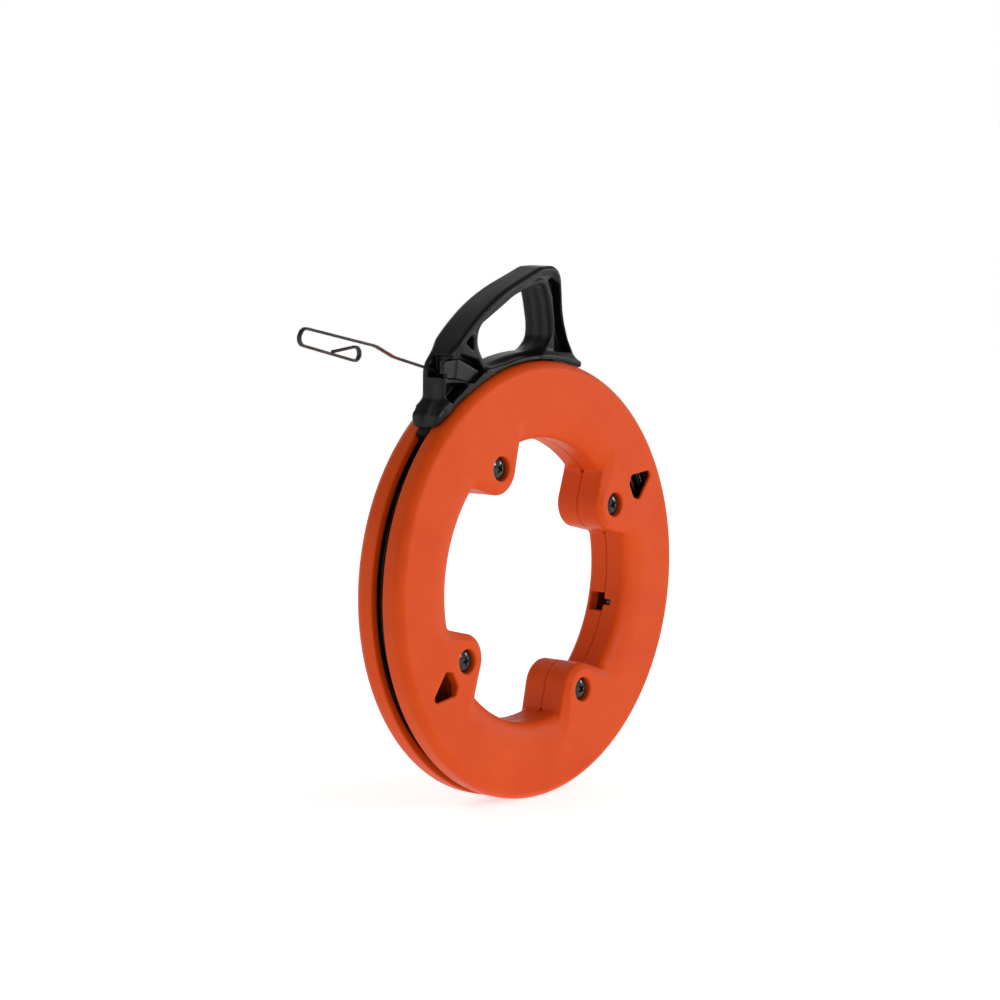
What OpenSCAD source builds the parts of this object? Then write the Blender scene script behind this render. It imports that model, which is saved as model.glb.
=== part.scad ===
// Fish tape reel: a two-shell ring housing with a slot round its rim, a handle
// that runs round the rim, and a flat steel tape stored in the ring.
// X runs to the right along the front face, Y along the axis of the reel with the
// front face at -Y, and Z up. The origin is on the axis, at the middle of the ring.

/* [Housing] */
// Diameter over the rim
reel_d = 304.8; // [300:0.1:312]
// Thickness over the two flat faces
reel_t = 40.8; // [39:0.2:44]
// Radius of the rounding between rim and face
rim_round = 6; // [4:0.5:7]
// Wall thickness of the shells
wall = 2.8; // [2.4:0.1:3.2]
// Width of the slot round the rim
slot_w = 9.7; // [9.4:0.1:11]
// Radial depth of the lips beside the slot
lip_depth = 6.2; // [5:0.1:6.4]
// Radius of the hand opening between its lobes
hub_r = 99; // [97:0.5:100]
// Radial width of the sloping edge of the hand opening
dish_w = 20; // [12:0.5:21]
// Axial depth of the sloping edge of the hand opening
dish_depth = 8; // [6:0.5:10]

/* [Lobes and screws] */
// Radius of the circle that the four screws lie on
screw_circle_r = 94; // [92:0.5:95]
// Angle of the first lobe above the +X axis
lobe_angle = 29; // [20:1:38]
// Radius of the round tip of a lobe
lobe_tip_r = 18.5; // [16:0.5:20]
// Spread of each side of a lobe from its middle line
lobe_spread = 43; // [40:1:50]
// Thread diameter of the housing screws
screw_d = 6; // [5:0.5:6]
// Diameter of the screw heads
head_d = 15.2; // [12:0.2:15.6]
// Diameter of the recess round each head
recess_d = 16.8; // [16.2:0.2:17.6]
// Depth of the recess below the face
recess_depth = 6.4; // [6:0.2:8]

/* [Windows] */
// Radius of the outer corner of a sight window, before its rounding
window_tip_r = 140.5; // [136:0.5:142]
// Radius at the inner edge of a sight window
window_base_r = 112.5; // [112:0.5:116]
// Width of a sight window at its widest place, before its rounding
window_w = 20; // [14:0.5:21]
// Size of the square anchor window in the inner wall
anchor_window = 12; // [10:0.5:13]

/* [Handle] */
// Width of the grip
grip_w = 25; // [22:0.5:28]
// Width of the nose
nose_w = 20; // [18:0.5:22]
// Width of the saddle that lies on the rim
saddle_w = 29; // [28:0.5:32]
// Thickness of the saddle
saddle_t = 5.8; // [3:0.1:6]
// Clearance between saddle and rim
saddle_gap = 1; // [0.4:0.1:1.2]
// Clearance between the shoe and the slot, on each side
shoe_gap = 0.45; // [0.3:0.05:0.6]

/* [Tape] */
// Width of the steel tape
tape_w = 3.2; // [3:0.1:3.4]
// Thickness of the steel tape
tape_t = 1.5; // [1.2:0.1:1.6]
// Inner radius of the stored turns
coil_r = 120; // [119:0.5:121]
// Sideways shift of the stored turns towards the lower left
coil_shift = 8; // [0:0.5:8]
// Height of the channel that the tape runs through
channel_h = 4.4; // [4:0.1:5]
// Width of the channel that the tape runs through
channel_w = 5; // [4.4:0.1:5]

/* [Hidden] */
$fn = 96;

rim_r = reel_d / 2;
half_t = reel_t / 2;
slot_half = slot_w / 2;
lobe_angles = [for (i = [0:3]) lobe_angle + 90 * i];
window_angles = [lobe_angle - 1, lobe_angle + 180.5];

// A cut runs past the face that it opens by this much
over = 1;
// Largest turn between two points of a rounded corner
arc_step = 9;

// Housing screws and nuts
screw_len = 32;
head_h = 4.6;
bore_d = screw_d + 0.6;
nut_af = 10;
nut_h = 5.2;
nut_gap = 0.2;

// Shell cavity
window_depth = 9;
cavity_in_r = hub_r + wall + 0.5;
cavity_out_r = rim_r - wall;
cavity_half = half_t - wall;
lip_in_r = rim_r - lip_depth;
dish_end_r = hub_r + dish_w;

// Anchor window and the hooked end of the tape
anchor_angle = -16;
anchor_slot_w = 3.5;
anchor_slot_len = 6;
hook_gap = 0.4;
hook_leg = 14;

// Shoe
keel_half = slot_half - shoe_gap;
keel_top_r = rim_r + saddle_gap;
flange_out_r = lip_in_r - 0.5;
flange_in_r = flange_out_r - 3.3;
flange_half = 9.5;
keel_start = 78;
keel_end = 134.5;
flange_start = 80;
flange_end = 130;
shoe_screw_angles = [83, 124];
shoe_screw_d = 4;
shoe_screw_len = 12;
shoe_bore_depth = 6;
shoe_head_d = 7;

// Saddle
saddle_out_r = keel_top_r + saddle_t;
saddle_start = 71.5;
saddle_end = 131;
nose_end_x = -83;
flare_w = saddle_w - 1.4;
flare_top_z = 126;

// Line of the tape between the stored turns and the mouth of the handle
tape_dir = [-0.9636, 0.2673];
tape_in = [32.4, 116.7];
tape_mouth = [-129.3, 161.3];
tape_angle = atan2(tape_dir.y, tape_dir.x);

// Stored turns: columns beside the plane of the handle, turns outwards in each
coil_columns = [-10.8, -7.2, -3.6, 3.6, 7.2, 10.8];
coil_turns = 4;
coil_pitch = 3.8;
coil_shift_angle = lobe_angle + 180;

// Side view of the handle, [x, z, rounding]
handle_outline = [
    [54, 140, 0], [38.5, 165.5, 20], [31.8, 184, 60], [32.2, 217.3, 11], [10.5, 216.9, 12],
    [-56.9, 194.4, 165], [-94.3, 154.7, 16], [-94.6, 132, 6], [-101.5, 123, 6],
    [-101.5, 114, 5], [-84, 101, 0], [-40, 120, 0], [40, 120, 0]
];
finger_hole = [
    [-42, 138, 0], [-59.5, 166.5, 12], [-58.5, 178.5, 12.5], [-18, 198.7, 60],
    [11, 205.6, 5], [15.8, 193, 60], [19, 177, 20], [18.6, 167, 10], [7, 157, 0], [4, 145, 0]
];
// Pockets in each side of the handle
top_pocket = [[-73.5, 169, 1], [-67.5, 173.8, 1], [-65.2, 172.4, 1], [-65.5, 163.6, 1]];
slot_pocket = [
    [-79.5, 162.6, 1], [-60.5, 157, 3], [-54.6, 149.4, 1], [-57.5, 148.2, 1], [-78.3, 159.2, 1]
];
nose_pocket = [[-91.5, 142.5, 1.5], [-72.5, 142, 1], [-89.5, 129, 1.5], [-92, 135, 1.5]];
leg_pocket = [
    [24, 206.5, 1], [29.4, 203, 1], [29.4, 184, 30], [35.4, 167.5, 30], [40, 159, 1],
    [26, 161, 2], [24, 178, 30]
];
side_pockets = [top_pocket, slot_pocket, nose_pocket, leg_pocket];
web_half = 3.2;

// Side view of the tape guide
guide_outline = [[-81, 159, 1], [-57, 148.6, 1], [-69, 142.4, 1], [-83, 145.5, 1]];
guide_half = nose_w / 2 - 0.4;

// Mouth in the nose
mouth_size = [24, 13.2, 14];
mouth_at = [-107, -8.6, 147];

// Middle line of the formed tip, [x, z, bend radius]
tip_line = [
    [-129.3, 161.3, 0], [-136, 163.2, 18], [-153, 171.3, 18], [-222.5, 187, 4.6],
    [-229.5, 177, 4.6], [-170.5, 161.9, 4.2], [-164.8, 172.6, 4.2], [-193.5, 171.3, 0]
];

function unit(v) = v / norm(v);
function flat(p) = [p.x, p.y];

// Points of a corner at b between a and c, rounded with radius b.z
function arc_points(m, s, turn, n) =
    [for (i = [0:n]) m + [
        s.x * cos(turn * i / n) - s.y * sin(turn * i / n),
        s.x * sin(turn * i / n) + s.y * cos(turn * i / n)
    ]];
function corner(a, b, c) =
    let (p = flat(b), u = unit(flat(a) - p), v = unit(flat(c) - p))
    let (half = acos(u * v) / 2, m = p + unit(u + v) * b.z / sin(half))
    let (s = p + u * b.z / tan(half) - m, e = p + v * b.z / tan(half) - m)
    let (turn = atan2(cross(s, e), s * e))
    arc_points(m, s, turn, max(1, ceil(abs(turn) / arc_step)));
function rounded(a, b, c) = b.z == 0 ? [flat(b)] : corner(a, b, c);
function rounded_loop(q) =
    let (n = len(q))
    [for (i = [0:n - 1]) each rounded(q[(i + n - 1) % n], q[i], q[(i + 1) % n])];
function rounded_line(q) =
    let (n = len(q))
    [flat(q[0]), for (i = [1:n - 2]) each rounded(q[i - 1], q[i], q[i + 1]), flat(q[n - 1])];

// Outline of a strip of thickness t along a line of points
function side(line, i) =
    let (a = line[max(i - 1, 0)], b = line[min(i + 1, len(line) - 1)], d = unit(b - a))
    [-d.y, d.x];
function strip(line, t) = [
    for (i = [0:len(line) - 1]) line[i] + side(line, i) * t / 2,
    for (i = [len(line) - 1:-1:0]) line[i] - side(line, i) * t / 2
];

// A side view, thick from y0 to y1
module slab(y0, y1) {
    translate([0, y1, 0]) rotate([90, 0, 0]) linear_extrude(y1 - y0) children();
}

// A profile of radius and depth turned about the axis; depth points to the front
module spin(start = 0, turn = 360) {
    rotate([90, 0, 0]) rotate([0, 0, start]) rotate_extrude(angle = turn) children();
}

// A piece drawn along +Z, set on the housing axis at radius r and the given angle
module on_axis(r, angle) {
    rotate([0, -angle, 0]) translate([r, 0, 0]) rotate([90, 0, 0]) children();
}

// A piece drawn along +Z, pointing outwards from radius r at the given angle
module radial(r, angle) {
    rotate([0, -angle, 0]) translate([r, 0, 0]) rotate([0, 90, 0]) children();
}

module disc_profile() {
    square([rim_r - rim_round, half_t]);
    square([rim_r, half_t - rim_round]);
    translate([rim_r - rim_round, half_t - rim_round]) circle(rim_round);
}

module cavity_profile() {
    corner_in = cavity_half - dish_depth;
    polygon([
        [cavity_in_r, -over], [cavity_in_r, corner_in], [cavity_in_r + dish_w, cavity_half],
        [rim_r - rim_round, cavity_half], [cavity_out_r, half_t - rim_round],
        [cavity_out_r, slot_half + wall], [lip_in_r, slot_half + wall], [lip_in_r, -over]
    ]);
}

module lobe_outline() {
    tangent = lobe_tip_r * [-sin(lobe_spread), cos(lobe_spread)] + [screw_circle_r, 0];
    far = tangent + 0.62 * hub_r * [cos(lobe_spread), sin(lobe_spread)];
    translate([screw_circle_r, 0]) circle(lobe_tip_r);
    polygon([tangent, far, [far.x, -far.y], [tangent.x, -tangent.y]]);
}

module lobes() {
    for (a = lobe_angles) rotate(a) lobe_outline();
}

module hub_outline() {
    difference() {
        circle(hub_r);
        lobes();
    }
}

// Sloping edge round the hand opening, between the lobes
module dish_cut() {
    difference() {
        spin() polygon([
            [hub_r - over, half_t - dish_depth - over * dish_depth / dish_w],
            [dish_end_r + over, half_t + over * dish_depth / dish_w],
            [dish_end_r, half_t + over * 2],
            [hub_r - over, half_t + over * 2]
        ]);
        slab(-half_t - 3 * over, 0) lobes();
    }
}

// The kite-shaped sight window
module window_outline() {
    mid_r = window_base_r + 5;
    polygon(rounded_loop([
        [window_base_r, -window_w / 4, 2], [mid_r, -window_w / 2, 3], [window_tip_r, 0, 3],
        [mid_r, window_w / 2, 3], [window_base_r, window_w / 4, 2]
    ]));
}

// Front shell before its own holes: ring, cavity and slot. The rear is its mirror image.
module shell_blank() {
    difference() {
        spin() disc_profile();
        slab(-half_t - over, over) hub_outline();
        spin() cavity_profile();
        spin() translate([lip_in_r - over, -over]) square([lip_depth + 3 * over, slot_half + over]);
        dish_cut();
        for (a = lobe_angles)
            on_axis(screw_circle_r, a) translate([0, 0, -over]) cylinder(d = bore_d, h = reel_t);
    }
}

module housing_front() {
    color("orangered") difference() {
        shell_blank();
        for (a = lobe_angles)
            on_axis(screw_circle_r, a)
                translate([0, 0, half_t - recess_depth])
                    cylinder(d = recess_d, h = recess_depth + over);
        for (a = window_angles)
            slab(-half_t - over, window_depth - half_t) rotate(a) window_outline();
        rotate([0, -anchor_angle, 0])
            translate([hub_r - 3 * over, -anchor_slot_len, -anchor_slot_w / 2])
                cube([wall + 6 * over, anchor_slot_len + over, anchor_slot_w]);
    }
}

module housing_rear() {
    color("orangered") difference() {
        mirror([0, 1, 0]) shell_blank();
        for (a = lobe_angles)
            on_axis(screw_circle_r, a)
                translate([0, 0, -half_t - over])
                    cylinder(d = (nut_af + 2 * nut_gap) / cos(30), h = recess_depth + over, $fn = 6);
        rotate([0, -anchor_angle, 0])
            translate([hub_r - 3 * over, -over, -anchor_window / 2])
                cube([wall + 6 * over, anchor_window + over, anchor_window]);
    }
}

// Pan head screw with a cross recess, head upwards, seat at z = 0
module pan_screw(d, len, dia_head, h_head) {
    edge = h_head * 0.45;
    slot = [dia_head * 0.55, d * 0.27, h_head];
    difference() {
        union() {
            cylinder(d = dia_head, h = h_head - edge);
            translate([0, 0, h_head - edge]) cylinder(d1 = dia_head, d2 = dia_head * 0.62, h = edge);
            translate([0, 0, -len]) cylinder(d = d, h = len + h_head / 2);
        }
        for (a = [0, 90])
            rotate(a) translate([-slot.x / 2, -slot.y / 2, h_head * 0.45]) cube(slot);
    }
}

module housing_screws() {
    color([0.08, 0.08, 0.09])
        for (a = lobe_angles)
            on_axis(screw_circle_r, a)
                translate([0, 0, half_t - recess_depth])
                    pan_screw(screw_d - 0.1, screw_len, head_d, head_h);
}

module housing_nuts() {
    color("silver")
        for (a = lobe_angles)
            on_axis(screw_circle_r, a)
                translate([0, 0, recess_depth - half_t - nut_h])
                    difference() {
                        cylinder(d = nut_af / cos(30), h = nut_h, $fn = 6);
                        translate([0, 0, -over]) cylinder(d = screw_d, h = nut_h + 2 * over);
                    }
}

// Straight channel for the tape, from one distance to another behind the mouth
module tape_channel(from, to) {
    translate([tape_mouth.x, 0, tape_mouth.y])
        rotate([0, -tape_angle, 0])
            translate([-to, -channel_w / 2, -channel_h / 2])
                cube([to - from, channel_w, channel_h]);
}

module handle_side() {
    difference() {
        polygon(rounded_loop(handle_outline));
        polygon(rounded_loop(finger_hole));
    }
}

// Part of the side view between two distances along X and two heights
module handle_part(from, to) {
    intersection() {
        handle_side();
        translate(from) square(to - from);
    }
}

// Grip, nose and the flared foot of the nose, each at its own width, on the saddle
module handle_mass() {
    slab(-grip_w / 2, grip_w / 2) handle_part([nose_end_x, 90], [60, 230]);
    slab(-nose_w / 2, nose_w / 2) handle_part([-120, 90], [nose_end_x + over, 230]);
    slab(-flare_w / 2, flare_w / 2) handle_part([-120, 90], [-60, flare_top_z]);
    spin(saddle_start, saddle_end - saddle_start)
        translate([keel_top_r - over, -saddle_w / 2]) square([saddle_t + over, saddle_w]);
}

module handle_body() {
    color([0.09, 0.09, 0.1]) difference() {
        handle_mass();
        slab(-saddle_w, saddle_w) circle(keel_top_r);
        for (pocket = side_pockets)
            for (y = [-grip_w, web_half])
                slab(y, y + grip_w - web_half) polygon(rounded_loop(pocket));
        translate(mouth_at) cube(mouth_size);
        slab(-grip_w, guide_half) polygon(rounded_loop(guide_outline));
        tape_channel(20, 110);
        for (a = shoe_screw_angles)
            radial(keel_top_r - over, a) cylinder(d = shoe_screw_d, h = shoe_bore_depth);
    }
}

module tape_guide() {
    color([0.16, 0.17, 0.19]) difference() {
        slab(-guide_half, guide_half) polygon(rounded_loop(guide_outline));
        tape_channel(20, 110);
    }
}

module handle_shoe() {
    color([0.12, 0.12, 0.12]) difference() {
        union() {
            spin(keel_start, keel_end - keel_start)
                translate([flange_out_r - over, -keel_half])
                    square([keel_top_r - flange_out_r + over, 2 * keel_half]);
            spin(flange_start, flange_end - flange_start)
                translate([flange_in_r, -flange_half])
                    square([flange_out_r - flange_in_r, 2 * flange_half]);
        }
        tape_channel(0, 130);
        for (a = shoe_screw_angles) {
            radial(flange_in_r - over, a) cylinder(d = shoe_screw_d + 0.4, h = 20);
            radial(flange_in_r - over, a) cylinder(d = shoe_head_d + 0.4, h = 3 + over);
        }
    }
}

module shoe_screws() {
    color("silver")
        for (a = shoe_screw_angles)
            radial(flange_in_r + 3, a)
                mirror([0, 0, 1]) pan_screw(shoe_screw_d - 0.1, shoe_screw_len, shoe_head_d, 2.4);
}

// Stored turns of the tape, as closed rings
module tape_coil() {
    color([0.2, 0.19, 0.19])
        rotate([0, -coil_shift_angle, 0])
            translate([coil_shift, 0, 0])
                for (y = coil_columns, i = [0:coil_turns - 1])
                    spin() translate([coil_r + i * coil_pitch, y - tape_w / 2]) square([tape_t, tape_w]);
}

// Inner end of the tape, bent at a right angle and hooked in the narrow anchor slot
module tape_end_hook() {
    neck_y = hook_gap - anchor_slot_len;
    color([0.2, 0.19, 0.19])
        rotate([0, -anchor_angle, 0])
            translate([cavity_in_r + hook_gap, neck_y, -tape_t / 2]) {
                translate([-wall, 0, 0]) cube([wall + tape_t, tape_w, tape_t]);
                cube([tape_t, tape_w, hook_leg]);
            }
}

module tape_run() {
    color([0.2, 0.19, 0.19])
        slab(-tape_w / 2, tape_w / 2) polygon(strip([tape_mouth, tape_in], tape_t));
}

module tape_tip() {
    color([0.2, 0.19, 0.19])
        slab(-tape_w / 2, tape_w / 2) polygon(strip(rounded_line(tip_line), tape_t));
}

housing_front();
housing_rear();
housing_screws();
housing_nuts();
handle_body();
handle_shoe();
shoe_screws();
tape_guide();
tape_coil();
tape_end_hook();
tape_run();
tape_tip();
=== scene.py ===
"""Fish tape reel: the looks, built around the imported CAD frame.

Shapes are worked out in millimetres in the row frame, with X to the right along the face,
Y along the reel's axis with the front face at -Y, and Z up. Meshes are made in metres.
A moulded piece is the zero surface of a field that is negative inside the material.
"""

import math

import bpy
import numpy as np
from mathutils import Matrix, Vector


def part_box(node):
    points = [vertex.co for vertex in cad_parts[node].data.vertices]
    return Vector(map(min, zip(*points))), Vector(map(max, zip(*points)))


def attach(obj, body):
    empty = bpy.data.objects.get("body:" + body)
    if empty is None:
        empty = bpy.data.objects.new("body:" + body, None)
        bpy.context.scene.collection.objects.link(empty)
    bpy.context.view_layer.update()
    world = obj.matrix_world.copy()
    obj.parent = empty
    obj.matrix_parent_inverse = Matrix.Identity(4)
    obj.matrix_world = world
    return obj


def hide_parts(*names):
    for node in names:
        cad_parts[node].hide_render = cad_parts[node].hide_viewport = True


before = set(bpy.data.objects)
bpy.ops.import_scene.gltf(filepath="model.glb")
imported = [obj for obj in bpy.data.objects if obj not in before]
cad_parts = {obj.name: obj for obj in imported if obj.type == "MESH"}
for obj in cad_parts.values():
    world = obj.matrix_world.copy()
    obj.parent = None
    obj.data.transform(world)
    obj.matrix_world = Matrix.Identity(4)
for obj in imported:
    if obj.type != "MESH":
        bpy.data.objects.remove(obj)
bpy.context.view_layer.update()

MM = 0.001
FRONT_LOW, FRONT_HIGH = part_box("housing_front")

# Housing. A shell's depth is counted from the middle plane, where the shells meet.
RIM_R = FRONT_HIGH.x / MM
HALF_T = -FRONT_LOW.y / MM
WALL = 2.8
RIM_ROUND = 8.05
ROUND_TOP = 0.45  # how far the rounding would rise above the flat face
SLOT_HALF = 4.85
SLOT_EDGE = 1.0
LIP_IN_R = RIM_R - 6.2
HUB_R = 99.0
DISH_W = 21.0
DISH_D = 8.5
CAVITY_IN_R = HUB_R + WALL + 0.5  # the ring's inner wall is a little thicker than the rest
CAVITY_RUN = DISH_W - 2.0  # width of the slope on the cavity's side of the dish
CAVITY_ROUND = 4.0
SEAM = 0.13
SEAM_SLIT = (74.0, 90.0, 0.75)  # from angle, to angle, half width
SEAM_SLIT_R = HUB_R + 2.0  # how far out the slit reaches

# Lobes
SCREW_CIRCLE_R = 94.0
LOBE_ANGLE = 29.0
LOBE_TIP_R = 18.5
LOBE_SPREAD = 43.0
LOBE_EDGE = 1.4
LOBE_BLEND = 2.4
CREASE_TIP_R = 14.0
CREASE_SPREAD = 35.0
BEVEL_DROP = 3.2
LOBE_CORNER = (1.4, 26.6)  # where a lobe's side meets the ring wall, from its screw
NOTCH_R, NOTCH_D = 1.3, 1.2  # notch in the seam at that corner

# Screws. Heights along a screw are counted from its head's seat.
RECESS_R = 8.4
RECESS_FLOOR = HALF_T - 6.4
RECESS_EDGE = 1.6
BORE_R = 3.3
NUT_APOTHEM = 5.2
NUT_EDGE = 1.0
HEAD_R = 7.6
HEAD_H = 4.9
HEAD_DOME = 2.0
HEAD_EDGE = 0.9
CROSS_HALF, CROSS_REACH, CROSS_D = 0.85, 3.4, 2.6
CROSS_TAPER = 0.35
CROSS_EDGE = 0.35
SHANK_R = 2.95
SHANK_TIP = (2.3, -32.6)  # radius and height
THREAD_END = -32.0
THREAD_D = 0.35
THREAD_STEP = 0.55  # half the pitch
THREAD_STEPS = 40
PLAIN_SHANK = (-9.9, 0.3)

# Sight windows: outline as (radius, sideways, rounding), and (angle, outward shift)
WINDOW = [(111.4, 5.4, 2), (116.2, 10.3, 3), (140.6, 0, 3), (116.2, -10.3, 3), (111.4, -5.4, 2)]
WINDOWS = [(27.7, 3.8), (210.5, -1.2)]
WINDOW_DEPTH = 10.0
WINDOW_EDGE = 1.2

# Window in the ring wall where the tape's inner end is anchored
ANCHOR_ANGLE = -16.0
ANCHOR_R = HUB_R + 7.0  # how far out it reaches
ANCHOR_FRONT = (2.0, 6.0)  # half width and depth in the front shell
ANCHOR_REAR = (6.5, 12.0)  # and in the rear shell
ANCHOR_EDGE = 0.8
FAR = 50.0  # a distance past every cut

# Handle
SADDLE_R = 153.4
SADDLE_TOP_R = 159.2
SADDLE_HALF = 14.5
SADDLE_FROM, SADDLE_TO = 71.5, 127.0
SADDLE_TAPER = (117.0, 2.5)  # from which angle each side tapers towards the nose, and by how much
SADDLE_CROWN = 2.6  # how much lower its top is at the sides than in the middle
SADDLE_EDGE, SADDLE_TIP_EDGE = 1.4, 1.5
SADDLE_BLEND = 5.0
GRIP_HALF = 12.4
GRIP_TOP_TAPER = 1.2
GRIP_EDGE = 3.0
HOLE_EDGE = (5.0, 2.5)  # at the nose's end of the finger hole, and at the leg's
NOSE_HALF = 10.0
FLARE_HALF = 12.8
WEB_HALF = 3.2
FLUTE_D, FLUTE_PITCH = 0.22, 8.5
VALLEY_D = 0.9
GROOVE_D, GROOVE_HALF = 0.8, 3.0
HANDLE_OUTLINE = [
    (54, 140, 0), (38.5, 165.5, 20), (31.8, 184, 60), (32.2, 217.3, 11), (10.5, 216.9, 12),
    (-56.9, 194.4, 165), (-94.3, 154.7, 16), (-94.6, 132, 8), (-102.6, 122.5, 8),
    (-104.4, 113.5, 6), (-84, 99, 0), (-40, 120, 0), (40, 120, 0),
]
FINGER_HOLE = [
    (-42, 138, 0), (-59.5, 166.5, 12), (-58.5, 178.5, 12.5), (-18, 198.7, 60), (11, 205.6, 5),
    (15.8, 193, 60), (19, 177, 20), (18.6, 167, 10), (7, 157, 0), (4, 145, 0),
]
TOP_POCKET = [(-73.5, 169, 1), (-67.5, 173.8, 1), (-65.2, 172.4, 1), (-65.5, 163.6, 1)]
SLOT_POCKET = [
    (-79.5, 162.6, 1), (-60.5, 157, 3), (-54.6, 149.4, 1), (-57.5, 148.2, 1), (-78.3, 159.2, 1),
]
NOSE_POCKET = [(-91.5, 142.5, 1.5), (-72.5, 142, 1), (-89.5, 129, 1.5), (-92, 135, 2)]
LEG_POCKET = [
    (17.5, 207, 1), (22, 209, 2), (29.4, 204, 2), (29.4, 184, 30), (35.4, 167.5, 30),
    (41.8, 155.8, 1), (21.5, 158.2, 2), (22.8, 173.5, 10), (22.2, 195, 10),
]
POCKET_EDGE = 1.4
MOUTH = ((-107, -16, 147), (-85, 4.6, 161))
MOUTH_EDGE = 1.0
GUIDE = [(-81, 159.3, 1), (-57, 148.8, 1), (-69, 141.8, 1), (-83, 145.5, 1)]
GUIDE_STEPS = [(-94.2, 156, 0.8), (-92.5, 157.8, 0.6), (-80, 158.4, 0.6), (-80, 145.8, 0.6),
               (-91, 145.8, 0.6), (-91, 149.2, 0.6), (-94.2, 149.2, 0.6)]
GUIDE_HOLLOW = ((-107, -6, 147), (-72, 4.6, 158))
GUIDE_MIDDLE, GUIDE_HALF = -0.6, NOSE_HALF + 0.2
GUIDE_STEPS_FROM, GUIDE_STEPS_TO = -9.6, -5.4
GUIDE_GAP, STEPS_GAP = 0.2, 0.25
GUIDE_EDGE, STEPS_EDGE, STEPS_BLEND = 1.2, 1.0, 0.8
FOOT_END = 133.4  # angle at which the nose's foot ends
FOOT_ROUND = 12.6
FOOT_EDGE = 2.0

# Tape
TAPE_W, TAPE_T = 3.2, 1.5
TAPE_EDGE = 0.28  # how much of the thickness each worn corner takes
LEAD_W, LEAD_T = 3.6, 1.7
TAPE_MOUTH = (-129.3, 161.3)  # first bend outside the handle's mouth
TAPE_IN = (32.4, 116.7)  # inner end of the straight stretch, at the stored turns
CHANNEL_HALF = (2.2, 2.5)  # across the tape's flat, and along Y
CHANNEL_FROM, CHANNEL_TO = 20.0, 110.0  # distances back from TAPE_MOUTH
TIP_LINE = [
    (-134.5, 162.8, 25), (-152.5, 171.1, 25), (-222.3, 186.9, 5), (-229.3, 177.1, 5),
    (-170.5, 162, 4.6), (-164.8, 172.6, 4.6), (-194, 169.9, 0),
]
COIL_INNER = (123.5, 7.0)  # mean radius and how far it is off centre
COIL_OUTER = (140.2, 0.4)
COIL_TURNS = 4
COIL_RISING = 3.1  # turns in which a column goes from the inner to the outer radius
COIL_COLUMNS = (-10.8, -7.2, -3.6, 3.6, 7.2, 10.8)
COIL_CROSSING = 0.12  # part of a turn in which the tape crosses to the next column
COIL_WAVER = 0.3

# Meshes
ARC_PIECE = 3.0  # longest straight piece of a rounded corner
RING_STEPS, RING_PITCH, DEPTH_PITCH = 640, 1.0, 0.85
HANDLE_PITCH, GUIDE_PITCH, HEAD_PITCH = 0.8, 0.5, 0.24
HANDLE_BOX = ((-108.0, -15.6, 98.0), (56.0, 15.6, 219.0))
GUIDE_BOX = ((-96, -11, 139), (-59, 11, 161))

# Camera: direction from the reel to it, its distance and its moves to the right and up in
# metres, and its angle of view in degrees
CAMERA_BACK = (-0.7709, -0.6256, 0.1207)
CAMERA_DISTANCE = 2.3168
CAMERA_ASIDE, CAMERA_RAISED = -0.01435, 0.0547
CAMERA_ANGLE = 17.10

# Studio: each light's name, place, target, size in metres, and power
LIGHTS = [
    ("key", (0.6, -2.4, 0.8), (0, 0, 0), 0.45, 17),
    ("fill", (2.1, -1.4, 0.5), (0, 0, 0), 0.4, 6),
    ("side", (-1.85, 1.6, 0.7), (0, 0, 0.05), 0.45, 1.6),
    ("back", (0.9, 2.2, 1.4), (0, 0, 0), 0.9, 6),
]
SKY_STOPS = [(0.1, 1.0), (0.7, 0.22)]  # height above the horizon, and brightness there
FLOOR_HALF, FLOOR_GAP = 40.0, 0.0003
FLOOR_GLOW = 0.64

# Steel, in metres: where the tape was heated, and how far from there the tint is full and gone
HEAT_SPOT = (-0.138, 0, 0.1645)
HEAT_FULL, HEAT_GONE = 0.004, 0.016
HEAT_TINT = (0.11, 0.028, 0.014, 1)
STEEL_GRAIN = 0.00004  # height of the grain


# ---------------------------------------------------------------- fields

def smooth_max(a, b, k):
    """Maximum whose edge is rounded where a and b differ by less than k."""
    near = np.maximum(k - np.abs(a - b), 0) / k
    return np.maximum(a, b) + near * near * k / 4


def smooth_min(a, b, k):
    return -smooth_max(-a, -b, k)


def ease(x, start, end):
    """Goes smoothly from 0 at start to 1 at end."""
    t = np.clip((x - start) / (end - start), 0, 1)
    return t * t * (3 - 2 * t)


def rounded(points, closed=True, step=9.0):
    """The (x, z) points of a line whose corners (x, z, radius) are rounded."""
    line, n = [], len(points)
    for i, (x, z, radius) in enumerate(points):
        if radius == 0 or (not closed and i in (0, n - 1)):
            line.append((x, z))
            continue
        here = np.array((x, z), float)
        before = np.array(points[i - 1][:2], float) - here
        after = np.array(points[(i + 1) % n][:2], float) - here
        before /= np.linalg.norm(before)
        after /= np.linalg.norm(after)
        half = math.acos(np.clip(before @ after, -1, 1)) / 2
        middle = here + (before + after) / np.linalg.norm(before + after) * radius / math.sin(half)
        arm = here + before * radius / math.tan(half) - middle
        turn = math.pi - 2 * half
        turn *= -np.sign(before[0] * after[1] - before[1] * after[0])
        count = math.ceil(max(abs(math.degrees(turn)) / step, abs(turn) * radius / ARC_PIECE, 1))
        for j in range(count + 1):
            c, s = math.cos(turn * j / count), math.sin(turn * j / count)
            line.append((middle[0] + arm[0] * c - arm[1] * s, middle[1] + arm[0] * s + arm[1] * c))
    return line


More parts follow.
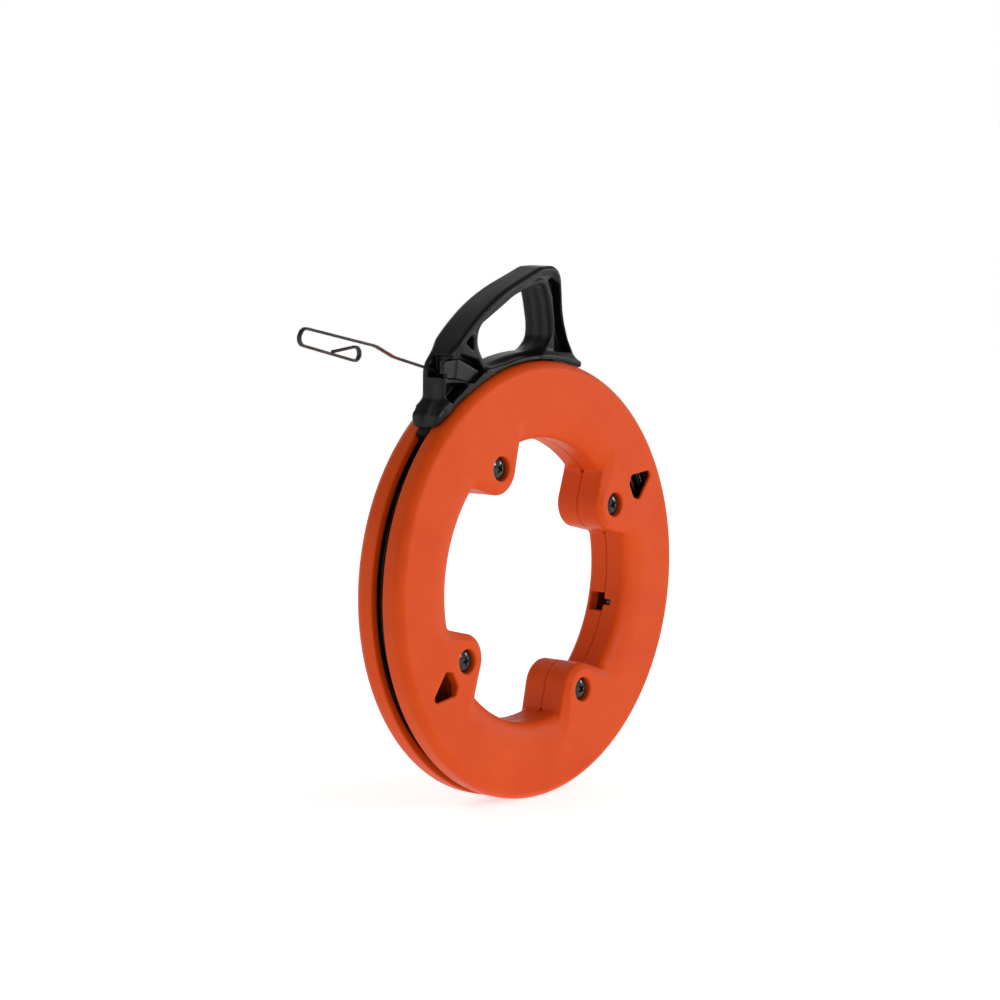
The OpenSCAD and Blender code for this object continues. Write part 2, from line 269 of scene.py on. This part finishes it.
def outline_distance(points, x, z):
    """Signed distance in the plane to a closed outline, negative inside."""
    nearest, inside = np.inf, False
    for (ax, az), (bx, bz) in zip(points, points[1:] + points[:1]):
        dx, dz = bx - ax, bz - az
        t = np.clip(((x - ax) * dx + (z - az) * dz) / max(dx * dx + dz * dz, 1e-12), 0, 1)
        nearest = np.minimum(nearest, np.hypot(x - ax - t * dx, z - az - t * dz))
        rises = (az > z) != (bz > z)
        inside = inside ^ (rises & (x < dx * (z - az) / (dz if dz else 1e-12) + ax))
    return np.where(inside, -nearest, nearest)


def wedge(u, v, spread, radius):
    """Signed distance to a round tip whose straight sides spread from the middle line."""
    c, s = math.cos(math.radians(spread)), math.sin(math.radians(spread))
    return np.where(u * c + v * s > 0, v * c - u * s, np.hypot(u, v)) - radius


def box_distance(x, y, z, low, high):
    """Distance past the nearest face of a box, negative inside."""
    return np.maximum.reduce(np.broadcast_arrays(
        low[0] - x, x - high[0], low[1] - y, y - high[1], low[2] - z, z - high[2]))


def rim_profile(r, w):
    """The housing's outer edge: a quarter round that the flat face cuts off."""
    e = r - (RIM_R - RIM_ROUND)
    f = w - (HALF_T + ROUND_TOP - RIM_ROUND)
    corner = np.hypot(np.maximum(e, 0), np.maximum(f, 0)) + np.minimum(np.maximum(e, f), 0)
    return np.maximum(corner - RIM_ROUND, w - HALF_T)


def dish(r, w):
    """Ring with a quarter-ellipse slope between its inner wall and its face."""
    e = np.maximum(HUB_R + DISH_W - r, 0) / DISH_W
    f = np.maximum(w - HALF_T + DISH_D, 0) / DISH_D
    k0, k1 = np.hypot(e, f), np.hypot(e / DISH_W, f / DISH_D)
    return np.where(k1 < 1e-6, -DISH_D, k0 * (k0 - 1) / np.maximum(k1, 1e-6))


def cavity(r, w):
    """Space for the stored turns, with the two lips beside the slot left out of it."""
    out_r, top = RIM_R - WALL, HALF_T - WALL
    ring = smooth_max(np.maximum(CAVITY_IN_R - r, r - out_r), w - top, CAVITY_ROUND)
    slope = (w - top + DISH_D) * CAVITY_RUN - (r - CAVITY_IN_R) * DISH_D
    slope = slope / math.hypot(CAVITY_RUN, DISH_D)
    lips = np.maximum(LIP_IN_R - r, w - SLOT_HALF - WALL)
    return np.maximum(np.maximum(ring, slope), -lips)


def housing_field(r, a, w, rear):
    """One shell at radius r, angle a in degrees and depth w from the middle plane."""
    turn = np.radians((a - LOBE_ANGLE + 45) % 90 - 45)
    u, v = r * np.cos(turn) - SCREW_CIRCLE_R, r * np.abs(np.sin(turn))
    lobe = wedge(u, v, LOBE_SPREAD, LOBE_TIP_R)
    crease = wedge(u, v, CREASE_SPREAD, CREASE_TIP_R)
    drop = BEVEL_DROP * np.clip(crease / np.maximum(crease - lobe, 1), 0, 1)
    plate = smooth_max(lobe, w - HALF_T + drop, LOBE_EDGE)
    solid = smooth_min(plate, dish(r, w), LOBE_BLEND)
    solid = np.maximum(solid, rim_profile(r, w))
    solid = np.maximum(solid, -cavity(r, w))
    solid = smooth_max(solid, -np.maximum(w - SLOT_HALF, LIP_IN_R - 1 - r), SLOT_EDGE)

    start, end, half = SEAM_SLIT
    in_slit = (a > start) & (a < end) & (r < SEAM_SLIT_R)
    solid = np.maximum(solid, np.where(in_slit, half, SEAM) - w)
    from_corner = np.hypot(u - LOBE_CORNER[0], v - LOBE_CORNER[1])
    solid = np.maximum(solid, -np.maximum(from_corner - NOTCH_R, w - NOTCH_D))

    from_anchor = np.radians(a - ANCHOR_ANGLE)
    half, depth = ANCHOR_REAR if rear else ANCHOR_FRONT
    outward = np.where(np.cos(from_anchor) > 0, r - ANCHOR_R, FAR)
    anchor = np.maximum(outward, np.abs(r * np.sin(from_anchor)) - half)
    solid = smooth_max(solid, -np.maximum(anchor, w - depth), ANCHOR_EDGE)

    from_screw = np.hypot(u, v)
    if rear:
        hexagon = np.maximum(v, v / 2 + np.abs(u) * math.sqrt(3) / 2) - NUT_APOTHEM
        solid = smooth_max(solid, -np.maximum(hexagon, RECESS_FLOOR - w), NUT_EDGE)
    else:
        recess = np.maximum(from_screw - RECESS_R, RECESS_FLOOR - w)
        solid = smooth_max(solid, -recess, RECESS_EDGE)
        for angle, shift in WINDOWS:
            t = np.radians(a - angle)
            hole = outline_distance(rounded(WINDOW), r * np.cos(t) - shift, r * np.sin(t))
            hole = np.maximum(hole, HALF_T - WINDOW_DEPTH - w)
            solid = smooth_max(solid, -hole, WINDOW_EDGE)
    return np.maximum(solid, BORE_R - from_screw)


def saddle_field(x, y, z):
    """Curved plate that follows the rim; its top is crowned behind the nose."""
    r = np.hypot(x, z)
    a = np.degrees(np.arctan2(z, x))
    along = np.maximum(SADDLE_FROM - a, a - SADDLE_TO) * math.radians(1) * SADDLE_TOP_R
    crown = ease(np.abs(y), 5, SADDLE_HALF - 1.5) * ease(x, -60, -30)
    taper_from, taper = SADDLE_TAPER
    half = SADDLE_HALF - taper * ease(a, taper_from, SADDLE_TO)
    thick = smooth_max(r - SADDLE_TOP_R + SADDLE_CROWN * crown, np.abs(y) - half, SADDLE_EDGE)
    return smooth_max(thick, along, SADDLE_TIP_EDGE)


def handle_half_width(x, z):
    """Half the handle's width: narrower at the nose, flared at its foot, tapered on top."""
    nose = 1 - ease(x, -86, -76)
    width = GRIP_HALF + (NOSE_HALF - GRIP_HALF) * nose
    flare = ease(-z, -134, -120) * (1 - ease(x, -82, -60))
    return width + (FLARE_HALF - width) * flare - GRIP_TOP_TAPER * ease(z, 190, 214)


def grip_field(x, y, z):
    """Grip, leg and nose with the finger hole, before the pockets are cut."""
    side = outline_distance(rounded(HANDLE_OUTLINE), x, z)
    hole = outline_distance(rounded(FINGER_HOLE), x, z)
    beside = np.abs(y) - handle_half_width(x, z)
    # soft flutes down the wall behind the fingers
    flutes = FLUTE_D * np.cos(y * 2 * math.pi / FLUTE_PITCH)
    hole = hole + flutes * ease(x, 8, 17) * ease(z, 158, 172)
    solid = smooth_max(side, beside, GRIP_EDGE)
    # shallow valley along the side of the grip, between its top edge and the finger hole
    valley = ease(-side, 3.5, 6) * ease(hole, 2.5, 5.5) * ease(x, -78, -66) * ease(z, 172, 180)
    solid = np.maximum(solid, beside + VALLEY_D * valley)
    nose_edge, leg_edge = HOLE_EDGE
    solid = smooth_max(solid, -hole, nose_edge + (leg_edge - nose_edge) * ease(x, -10, 10))
    # soft groove down the front of the nose's foot
    groove = GROOVE_D * np.exp(-(y / GROOVE_HALF) ** 2) * ease(-x, 90, 96)
    return solid + groove * ease(z, 112, 120) * ease(-z, -146, -138)


def foot_end(r, a, depth):
    """Field that rounds off the end of the nose's foot, along the rim."""
    past = (a - FOOT_END) * math.radians(1) * r + FOOT_ROUND
    beside = depth - FLARE_HALF + FOOT_ROUND
    end = np.hypot(np.maximum(past, 0), np.maximum(beside, 0)) - FOOT_ROUND
    return np.where(past > 0, end, past - FOOT_ROUND)


def handle_field(x, y, z):
    """The whole moulding: grip, leg, nose and saddle with pockets, mouth and channel."""
    depth = np.abs(y)
    solid = smooth_min(grip_field(x, y, z), saddle_field(x, y, z), SADDLE_BLEND)
    for pocket in (TOP_POCKET, SLOT_POCKET, NOSE_POCKET, LEG_POCKET):
        cut = np.maximum(outline_distance(rounded(pocket), x, z), WEB_HALF - depth)
        solid = smooth_max(solid, -cut, POCKET_EDGE)
    solid = smooth_max(solid, -box_distance(x, y, z, *MOUTH), MOUTH_EDGE)
    seat = outline_distance(rounded(GUIDE), x, z) - GUIDE_GAP
    solid = np.maximum(solid, -np.maximum(seat, y - NOSE_HALF + 2 * GUIDE_GAP))
    steps = outline_distance(rounded(GUIDE_STEPS), x, z) - STEPS_GAP
    solid = np.maximum(solid, -np.maximum(steps, y - GUIDE_STEPS_TO - 2 * GUIDE_GAP))
    solid = np.maximum(solid, -tape_channel(x, y, z))
    r = np.hypot(x, z)
    solid = smooth_max(solid, foot_end(r, np.degrees(np.arctan2(z, x)), depth), FOOT_EDGE)
    return np.maximum(solid, SADDLE_R - r)


def tape_channel(x, y, z):
    """Straight channel of the tape through the handle and the guide."""
    along = Vector((TAPE_MOUTH[0] - TAPE_IN[0], TAPE_MOUTH[1] - TAPE_IN[1])).normalized()
    off = (x - TAPE_MOUTH[0]) * -along.y + (z - TAPE_MOUTH[1]) * along.x
    back = -((x - TAPE_MOUTH[0]) * along.x + (z - TAPE_MOUTH[1]) * along.y)
    across = np.maximum(np.abs(off) - CHANNEL_HALF[0], np.abs(y) - CHANNEL_HALF[1])
    return np.maximum(across, np.maximum(CHANNEL_FROM - back, back - CHANNEL_TO))


def guide_field(x, y, z):
    """Wedge-shaped plate with a stepped block on its front side, hollow for the tape."""
    plate = outline_distance(rounded(GUIDE), x, z)
    solid = smooth_max(plate, np.abs(y - GUIDE_MIDDLE) - GUIDE_HALF, GUIDE_EDGE)
    steps = outline_distance(rounded(GUIDE_STEPS), x, z)
    steps_ends = np.maximum(GUIDE_STEPS_FROM - y, y - GUIDE_STEPS_TO)
    solid = smooth_min(solid, smooth_max(steps, steps_ends, STEPS_EDGE), STEPS_BLEND)
    solid = np.maximum(solid, -box_distance(x, y, z, *GUIDE_HOLLOW))
    return np.maximum(solid, -tape_channel(x, y, z))


def screw_field(x, y, z):
    """Pan head with a cross recess; z is the height above the seat."""
    r = np.hypot(x, y)
    ball_r = (HEAD_R ** 2 + HEAD_DOME ** 2) / (2 * HEAD_DOME)
    dome = np.sqrt(r * r + (z - HEAD_H + ball_r) ** 2) - ball_r
    solid = smooth_max(smooth_max(dome, r - HEAD_R, HEAD_EDGE), -z, HEAD_EDGE / 3)
    taper = CROSS_TAPER * (HEAD_H - z)
    for p, q in ((x, y), (y, x)):
        arm = np.maximum(np.abs(p) - CROSS_HALF + taper * 0.3, np.abs(q) - CROSS_REACH + taper)
        solid = smooth_max(solid, -np.maximum(arm, HEAD_H - CROSS_D - z), CROSS_EDGE)
    return solid


# ---------------------------------------------------------------- meshes

def surface_net(values, wrap):
    """Vertices in grid steps, and quads, of the surface where values change sign."""
    size = np.array(values.shape)
    cells = size - 1
    if wrap:
        cells[1] = size[1]
    total = int(cells.prod())
    sums, counts, quads = np.zeros((3, total)), np.zeros(total), []
    for axis in range(3):
        after = np.roll(values, -1, axis)
        crossing = (values < 0) != (after < 0)
        if not (wrap and axis == 1):
            last = [slice(None)] * 3
            last[axis] = -1
            crossing[tuple(last)] = False
        start = np.argwhere(crossing)
        here, there = values[crossing], after[crossing]
        point = start.astype(float)
        point[:, axis] += here / (here - there)
        ring, whole = [], np.ones(len(start), bool)
        for one, two in ((0, 0), (1, 0), (1, 1), (0, 1)):
            cell = start.copy()
            cell[:, (axis + 1) % 3] -= one
            cell[:, (axis + 2) % 3] -= two
            local = point - cell
            if wrap:
                cell[:, 1] %= size[1]
            fits = ((cell >= 0) & (cell < cells)).all(1)
            index = (cell[:, 0] * cells[1] + cell[:, 1]) * cells[2] + cell[:, 2]
            counts += np.bincount(index[fits], minlength=total)
            for k in range(3):
                sums[k] += np.bincount(index[fits], local[fits, k], total)
            ring.append(index)
            whole &= fits
        quad = np.stack(ring, 1)[whole]
        turned = here[whole] >= 0
        quad[turned] = quad[turned][:, ::-1]
        quads.append(quad)
    used = np.flatnonzero(counts)
    cell = np.stack(np.unravel_index(used, cells), 1)
    number = np.zeros(total, int)
    number[used] = np.arange(len(used))
    return cell + (sums[:, used] / counts[used]).T, number[np.concatenate(quads)]


def settle(points, field, reach):
    """Moves the points onto the zero surface of the field, in three Newton steps."""
    small = 0.01
    for _ in range(3):
        value = field(*points.T)
        slope = np.empty_like(points)
        for k in range(3):
            shift = np.zeros(3)
            shift[k] = small
            slope[:, k] = (field(*(points + shift).T) - value) / small
        step = slope * (value / np.maximum((slope ** 2).sum(1), 0.05))[:, None]
        length = np.linalg.norm(step, axis=1, keepdims=True)
        points = points - step * np.minimum(1, reach / np.maximum(length, 1e-9))
    return points


def make_object(name, points, faces):
    """A smooth-shaded object from points in millimetres."""
    mesh = bpy.data.meshes.new(name)
    mesh.from_pydata((np.asarray(points) * MM).tolist(), [], faces)
    mesh.validate()
    mesh.shade_smooth()
    piece = bpy.data.objects.new(name, mesh)
    bpy.context.scene.collection.objects.link(piece)
    return piece


def mesh_of(field, low, high, pitch):
    """Points and quads of a field in a box of the row frame."""
    axes = [low[k] + pitch * np.arange(math.ceil((high[k] - low[k]) / pitch) + 1) for k in range(3)]
    grid = field(axes[0][:, None, None], axes[1][None, :, None], axes[2][None, None, :])
    grid = np.ascontiguousarray(np.broadcast_to(grid, [len(axis) for axis in axes]))
    points, quads = surface_net(grid, wrap=False)
    points = settle(points * pitch + np.array(low, float), field, pitch * 0.6)
    return points, quads.tolist()


def housing_shell(name, rear):
    """One shell, meshed on a grid of radius, angle and depth."""
    r = np.arange(SCREW_CIRCLE_R - LOBE_TIP_R - 1.5, RIM_R + 2, RING_PITCH)
    a = np.arange(RING_STEPS) * 360.0 / RING_STEPS
    w = np.arange(-0.7, HALF_T + 1.2, DEPTH_PITCH)
    grid = housing_field(r[:, None, None], a[None, :, None], w[None, None, :], rear)
    places, quads = surface_net(grid, wrap=True)
    radius, angle = r[0] + places[:, 0] * RING_PITCH, places[:, 1] * 2 * math.pi / RING_STEPS
    points = np.stack([radius * np.cos(angle), -(w[0] + places[:, 2] * DEPTH_PITCH),
                       radius * np.sin(angle)], 1)

    def field(x, y, z):
        return housing_field(np.hypot(x, z), np.degrees(np.arctan2(z, x)) % 360, -y, rear)

    points = settle(points, field, RING_PITCH * 0.6)
    if rear:
        points[:, 1] *= -1
        quads = quads[:, ::-1]
    return make_object(name, points, quads.tolist())


def strip(line, width, thickness):
    """Points and faces of a flat strip that follows a line, its width along Y."""
    line = np.asarray(line, float)
    along = np.gradient(line, axis=0)
    out = np.cross(along, (0, 1, 0))
    out /= np.linalg.norm(out, axis=1, keepdims=True)
    b, t, edge = width / 2, thickness / 2, thickness * TAPE_EDGE
    section = [(b, t - edge), (b - edge, t), (edge - b, t), (-b, t - edge),
               (-b, edge - t), (edge - b, -t), (b - edge, -t), (b, edge - t)]
    n, m = len(line), len(section)
    points = np.stack([line + out * q + np.array((0, p, 0)) for p, q in section], 1).reshape(-1, 3)
    faces = [(i * m + j, i * m + (j + 1) % m, (i + 1) * m + (j + 1) % m, (i + 1) * m + j)
             for i in range(n - 1) for j in range(m)]
    caps = [tuple(range(m - 1, -1, -1)), tuple((n - 1) * m + j for j in range(m))]
    return points, faces + caps


def coil_line(steps=110):
    """One continuous line: four turns out in a column, four turns in in the next."""
    line = []
    for i in range(len(COIL_COLUMNS) * COIL_TURNS * steps):
        turn = i / steps
        column, within = int(turn // COIL_TURNS), turn % COIL_TURNS
        following = COIL_COLUMNS[min(column + 1, len(COIL_COLUMNS) - 1)]
        y = COIL_COLUMNS[column]
        y += (following - y) * float(ease(within, COIL_TURNS - COIL_CROSSING, COIL_TURNS))
        rising = within if column % 2 == 0 else COIL_TURNS - within
        outward = min(1, rising / COIL_RISING)
        angle = 2 * math.pi * turn - math.pi / 2
        lean = math.cos(angle - math.radians(LOBE_ANGLE))
        inner = COIL_INNER[0] - COIL_INNER[1] * lean
        outer = COIL_OUTER[0] - COIL_OUTER[1] * lean
        waver = COIL_WAVER * math.sin(3 * angle + 1.7 * column)
        radius = inner + (outer - inner) * outward + waver
        line.append((radius * math.cos(angle), y, radius * math.sin(angle)))
    return line


def turned(profile, steps):
    """Points and faces of a lathe turned about +Z from (radius, height) points."""
    points = [(r * math.cos(2 * math.pi * j / steps), r * math.sin(2 * math.pi * j / steps), h)
              for r, h in profile for j in range(steps)]
    faces = [(i * steps + j, i * steps + (j + 1) % steps, (i + 1) * steps + (j + 1) % steps,
              (i + 1) * steps + j) for i in range(len(profile) - 1) for j in range(steps)]
    last = (len(profile) - 1) * steps
    return points, faces + [tuple(range(steps - 1, -1, -1)), tuple(range(last, last + steps))]


def housing_screw_set():
    """Four screws in one piece: domed heads with a cross recess on threaded shanks."""
    reach = HEAD_R + 0.6
    low, high = (-reach, -reach, -0.5), (reach, reach, HEAD_H + 0.6)
    head, head_faces = mesh_of(screw_field, low, high, HEAD_PITCH)
    threads = [(SHANK_R - THREAD_D * (i % 2), THREAD_END + THREAD_STEP * i)
               for i in range(THREAD_STEPS)]
    plain = [(SHANK_R, height) for height in PLAIN_SHANK]
    shank, shank_faces = turned([SHANK_TIP] + threads + plain, 28)
    local = np.concatenate([head, np.array(shank)])
    one = head_faces + [tuple(k + len(head) for k in f) for f in shank_faces]
    points, faces = [], []
    for i in range(4):
        angle = math.radians(LOBE_ANGLE + 90 * i)
        spin = math.radians(20 + 37 * i)
        x = local[:, 0] * math.cos(spin) - local[:, 1] * math.sin(spin)
        z = local[:, 0] * math.sin(spin) + local[:, 1] * math.cos(spin)
        faces += [tuple(k + i * len(local) for k in f) for f in one]
        points.append(np.stack([x + SCREW_CIRCLE_R * math.cos(angle), -RECESS_FLOOR - local[:, 2],
                                z + SCREW_CIRCLE_R * math.sin(angle)], 1))
    return make_object("screw_heads", np.concatenate(points), faces)


# ---------------------------------------------------------------- materials

class Nodes:
    """A short way to build a procedural material."""

    def __init__(self, name):
        self.material = bpy.data.materials.new(name)
        self.material.use_nodes = True
        self.tree = self.material.node_tree
        self.shader = self.tree.nodes["Principled BSDF"]
        self.coords = self.tree.nodes.new("ShaderNodeTexCoord").outputs["Object"]

    def add(self, kind, inputs=None, **settings):
        node = self.tree.nodes.new("ShaderNode" + kind)
        for key, value in settings.items():
            setattr(node, key, value)
        for key, value in (inputs or {}).items():
            if isinstance(value, bpy.types.NodeSocket):
                self.tree.links.new(value, node.inputs[key])
            else:
                node.inputs[key].default_value = value
        return node

    def noise(self, scale, detail=2.0, roughness=0.5):
        return self.add("TexNoise", {"Vector": self.coords, "Scale": scale, "Detail": detail,
                                     "Roughness": roughness}).outputs["Fac"]

    def ramp(self, value, *stops):
        node = self.add("ValToRGB", {"Fac": value})
        elements = node.color_ramp.elements
        while len(elements) < len(stops):
            elements.new(0.5)
        for element, (place, colour) in zip(elements, stops):
            element.position = place
            element.color = (*colour, 1)
        return node.outputs["Color"]

    def span(self, value, low, high):
        span = self.add("MapRange", {"Value": value, "To Min": low, "To Max": high})
        return span.outputs["Result"]

    def bump(self, height, distance, normal=None):
        inputs = {"Height": height, "Distance": distance, "Strength": 1.0}
        if normal is not None:
            inputs["Normal"] = normal
        return self.add("Bump", inputs).outputs["Normal"]

    def set(self, **inputs):
        for key, value in inputs.items():
            socket = self.shader.inputs[key.replace("_", " ")]
            if isinstance(value, bpy.types.NodeSocket):
                self.tree.links.new(value, socket)
            else:
                socket.default_value = value


def plastic(name, dark, light, rough, grain, grain_depth, wave_depth, specular):
    """Moulded plastic with a fine grain, faint sink marks and uneven gloss."""
    m = Nodes(name)
    m.set(Base_Color=m.ramp(m.noise(28, 4, 0.6), (0.3, dark), (0.7, light)),
          Roughness=m.span(m.noise(120, 3), *rough),
          Specular_IOR_Level=specular)
    waves = m.bump(m.noise(34, 1), wave_depth)
    m.set(Normal=m.bump(m.noise(grain, 2, 0.6), grain_depth, waves))
    return m.material


def steel(name, stops, rough, grain, metallic=1.0):
    """Plated or oxidised steel with a fine uneven surface."""
    m = Nodes(name)
    m.set(Base_Color=m.ramp(m.noise(60, 3), *stops),
          Metallic=metallic,
          Roughness=m.span(m.noise(300, 2), *rough),
          Normal=m.bump(m.noise(grain, 2), STEEL_GRAIN))
    return m.material


def tape_steel():
    """Dark oiled spring steel, heated red-brown where it is bent beside the mouth."""
    m = Nodes("tape_steel")
    base = m.ramp(m.noise(90, 4, 0.6), (0.3, (0.022, 0.017, 0.015)), (0.7, (0.07, 0.055, 0.048)))
    away = m.add("VectorMath", {0: m.coords, 1: HEAT_SPOT}, operation="DISTANCE")
    heat = m.add("MapRange", {"Value": away.outputs["Value"], "From Min": HEAT_FULL,
                              "From Max": HEAT_GONE, "To Min": 1.0, "To Max": 0.0})
    mix = m.add("Mix", {"Factor": heat.outputs["Result"], "A": base, "B": HEAT_TINT},
                data_type="RGBA")
    m.set(Base_Color=mix.outputs["Result"], Metallic=0.85,
          Roughness=m.span(m.noise(240, 3), 0.24, 0.46),
          Normal=m.bump(m.noise(900, 2), STEEL_GRAIN))
    return m.material


def paint(piece, material):
    piece.data.materials.clear()
    piece.data.materials.append(material)


# ---------------------------------------------------------------- scene

def place_camera():
    """A long lens, off to the left of the face and a little above it."""
    back = Vector(CAMERA_BACK).normalized()
    right = Vector((0, 0, 1)).cross(back).normalized()
    up = back.cross(right)
    data = bpy.data.cameras.new("camera")
    data.sensor_width = 36
    data.angle = math.radians(CAMERA_ANGLE)
    data.clip_end = 50
    camera = bpy.data.objects.new("camera", data)
    place = back * CAMERA_DISTANCE + right * CAMERA_ASIDE + up * CAMERA_RAISED
    rotation = Matrix((right, up, back)).transposed().to_4x4()
    camera.matrix_world = Matrix.Translation(place) @ rotation
    bpy.context.scene.collection.objects.link(camera)
    bpy.context.scene.camera = camera


def place_light(name, spot, target, size, power):
    data = bpy.data.lights.new(name, "AREA")
    data.shape = "SQUARE"
    data.size = size
    data.energy = power
    light = bpy.data.objects.new(name, data)
    light.location = spot
    light.rotation_euler = (Vector(target) - Vector(spot)).to_track_quat("-Z", "Y").to_euler()
    bpy.context.scene.collection.objects.link(light)


def place_sky():
    """White at the horizon and darker overhead."""
    world = bpy.data.worlds.new("studio")
    world.use_nodes = True
    tree = world.node_tree
    direction = tree.nodes.new("ShaderNodeTexCoord").outputs["Generated"]
    height = tree.nodes.new("ShaderNodeSeparateXYZ")
    tree.links.new(direction, height.inputs[0])
    ramp = tree.nodes.new("ShaderNodeValToRGB")
    for element, (place, grey_level) in zip(ramp.color_ramp.elements, SKY_STOPS):
        element.position = place
        element.color = (grey_level, grey_level, grey_level, 1)
    tree.links.new(height.outputs["Z"], ramp.inputs["Fac"])
    tree.links.new(ramp.outputs["Color"], tree.nodes["Background"].inputs["Color"])
    bpy.context.scene.world = world


def place_floor():
    height = -RIM_R * MM - FLOOR_GAP
    corners = [(FLOOR_HALF * i, FLOOR_HALF * j, height) for i, j in ((-1, -1), (1, -1), (1, 1), (-1, 1))]
    mesh = bpy.data.meshes.new("floor")
    mesh.from_pydata(corners, [], [(0, 1, 2, 3)])
    floor = bpy.data.objects.new("floor", mesh)
    bpy.context.scene.collection.objects.link(floor)
    m = Nodes("floor_white")
    m.set(Base_Color=(0.92, 0.92, 0.92, 1), Roughness=0.8, Emission_Color=(1, 1, 1, 1),
          Emission_Strength=FLOOR_GLOW)
    paint(floor, m.material)


def add_piece(piece, body, slot, material, *nodes):
    """Paints a piece and puts it on a body in place of CAD nodes."""
    paint(piece, material)
    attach(piece, body)
    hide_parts(*nodes)


place_camera()
place_sky()
for light in LIGHTS:
    place_light(*light)
place_floor()
bpy.context.scene.view_settings.view_transform = "Standard"

orange = plastic("housing_orange", (0.575, 0.052, 0.0015), (0.625, 0.066, 0.003),
                 rough=(0.36, 0.5), grain=1500, grain_depth=0.00007, wave_depth=0.0005,
                 specular=0.14)
black = plastic("handle_black", (0.0028, 0.0028, 0.0026), (0.0055, 0.0055, 0.005),
                rough=(0.26, 0.40), grain=1300, grain_depth=0.00003, wave_depth=0.0006,
                specular=0.2)
grey = plastic("guide_grey", (0.007, 0.0075, 0.009), (0.012, 0.013, 0.015),
               rough=(0.28, 0.38), grain=1300, grain_depth=0.00002, wave_depth=0.0002,
               specular=0.22)
shoe = plastic("shoe_black", (0.004, 0.004, 0.004), (0.008, 0.008, 0.008),
               rough=(0.35, 0.5), grain=1300, grain_depth=0.00003, wave_depth=0.0003,
               specular=0.2)
oxide = steel("black_oxide", [(0.3, (0.012, 0.013, 0.014)), (0.7, (0.03, 0.03, 0.033))],
              rough=(0.07, 0.12), grain=700, metallic=0.5)
zinc = steel("zinc_plate", [(0.3, (0.42, 0.42, 0.40)), (0.7, (0.62, 0.61, 0.57))],
             rough=(0.25, 0.4), grain=700)
tape = tape_steel()

front = housing_shell("front_shell", rear=False)
add_piece(front, "housing", "housing_plastic", orange, "housing_front")
rear = housing_shell("rear_shell", rear=True)
add_piece(rear, "housing", "housing_plastic", orange, "housing_rear")
add_piece(housing_screw_set(), "housing", "black_steel", oxide, "housing_screws")

handle = make_object("handle_grip", *mesh_of(handle_field, *HANDLE_BOX, HANDLE_PITCH))
add_piece(handle, "handle", "handle_plastic", black, "handle_body")
guide = make_object("guide_block", *mesh_of(guide_field, *GUIDE_BOX, GUIDE_PITCH))
add_piece(guide, "handle", "guide_plastic", grey, "tape_guide")

coil = make_object("coiled_tape", *strip(coil_line(), TAPE_W, TAPE_T))
add_piece(coil, "housing", "tape_steel", tape, "tape_coil")
path = rounded([(*TAPE_IN, 0), (*TAPE_MOUTH, 18)] + TIP_LINE, closed=False, step=4)
lead = make_object("tape_lead", *strip([(x, 0, z) for x, z in path], LEAD_W, LEAD_T))
add_piece(lead, "tape", "tape_steel", tape, "tape_run", "tape_tip")

for node, material in (("housing_nuts", zinc), ("shoe_screws", zinc), ("handle_shoe", shoe),
                       ("tape_end_hook", tape)):
    paint(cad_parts[node], material)
